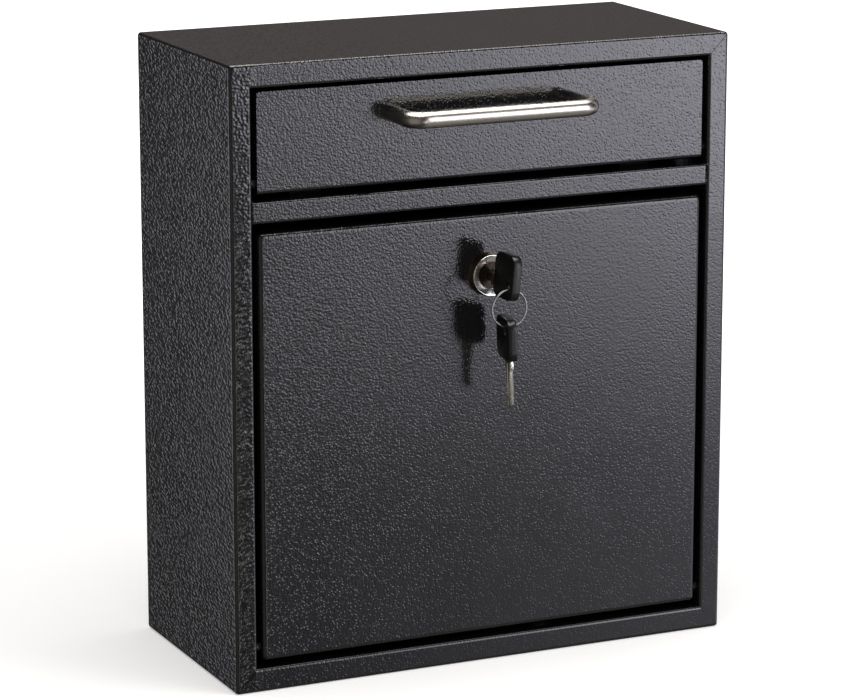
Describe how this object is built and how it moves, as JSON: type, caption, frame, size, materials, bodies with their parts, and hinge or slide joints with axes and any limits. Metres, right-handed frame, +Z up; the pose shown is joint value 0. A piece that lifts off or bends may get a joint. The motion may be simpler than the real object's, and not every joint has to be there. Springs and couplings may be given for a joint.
{
  "type": "parcel drop box",
  "caption": "Wall-mounted steel parcel drop box with a tilting deposit hopper above a bottom-hinged door, a cam lock with its key, and a spare key on a ring.",
  "frame": {"origin": "middle of the cabinet's bottom face", "axes": "+Z up, -Y towards the person in front of the box, +X to their right, +Y out of the back panel into the wall"},
  "size_m": [0.264, 0.1522, 0.305],
  "materials": {
    "textured_paint": "glossy black hammertone paint on steel sheet",
    "painted_weld": "weld bead under the same black paint",
    "rubber": "matt black rubber",
    "black_nylon": "black nylon",
    "black_oxide": "black oxide on steel",
    "zinc_steel": "bright zinc plate",
    "brushed_nickel": "satin brushed nickel",
    "chrome_plate": "polished plate",
    "nickel_key": "nickel plated key blank",
    "black_plastic": "fine satin moulded plastic",
    "ring_wire": "plated spring wire"
  },
  "bodies": {
    "cabinet": {"outer_shell": "textured_paint", "back_panel": "textured_paint", "divider_rail": "textured_paint", "rail_welds": "painted_weld", "door_stops": "textured_paint", "hopper_bumpers": "rubber", "door_bushes": "black_nylon", "hopper_bushes": "black_nylon"},
    "hopper": {"hopper_front": "textured_paint", "hopper_floor": "textured_paint", "hopper_left_cheek": "textured_paint", "hopper_right_cheek": "textured_paint", "hopper_pivot_pins": "black_oxide", "handle": "brushed_nickel", "handle_washers": "zinc_steel", "handle_screws": "zinc_steel"},
    "door": {"door_panel": "textured_paint", "door_hinge_pins": "black_oxide", "lock_housing": "chrome_plate", "lock_washer": "zinc_steel", "lock_nut": "zinc_steel"},
    "plug": {"lock_plug": "chrome_plate", "lock_cam": "zinc_steel", "cam_washer": "zinc_steel", "cam_screw": "zinc_steel"},
    "key": {"key_blade": "nickel_key", "key_head": "black_plastic"},
    "ring": {"key_ring": "ring_wire"},
    "spare_key": {"spare_key_blade": "nickel_key", "spare_key_head": "black_plastic"}
  },
  "joints": [
    {"name": "hopper_tilt", "type": "hinge", "parent": "cabinet", "child": "hopper", "pos_m": [0, -0.054, 0.248], "axis": [1, 0, 0], "range_deg": [0, 45]},
    {"name": "door_swing", "type": "hinge", "parent": "cabinet", "child": "door", "pos_m": [0, -0.054, 0.0213], "axis": [1, 0, 0], "range_deg": [0, 105]},
    {"name": "lock_turn", "type": "hinge", "parent": "door", "child": "plug", "pos_m": [0.0012, -0.06, 0.1953], "axis": [0, 1, 0], "range_deg": [-5, 85]},
    {"name": "key_withdraw", "type": "slide", "parent": "plug", "child": "key", "axis": [0, -1, 0], "range_m": [0, 0.02]},
    {"name": "ring_hang", "type": "hinge", "parent": "key", "child": "ring", "pos_m": [0.0007, -0.0856, 0.18705], "axis": [0, 1, 0], "range_deg": [-85, 5]},
    {"name": "spare_key_swing", "type": "hinge", "parent": "ring", "child": "spare_key", "pos_m": [0.0002, -0.0856, 0.17425], "axis": [1, 0, 0], "range_deg": [-75, 30]}
  ],
  "couplings": [
    {"joint": "ring_hang", "follows": "lock_turn", "ratio": -1}
  ]
}
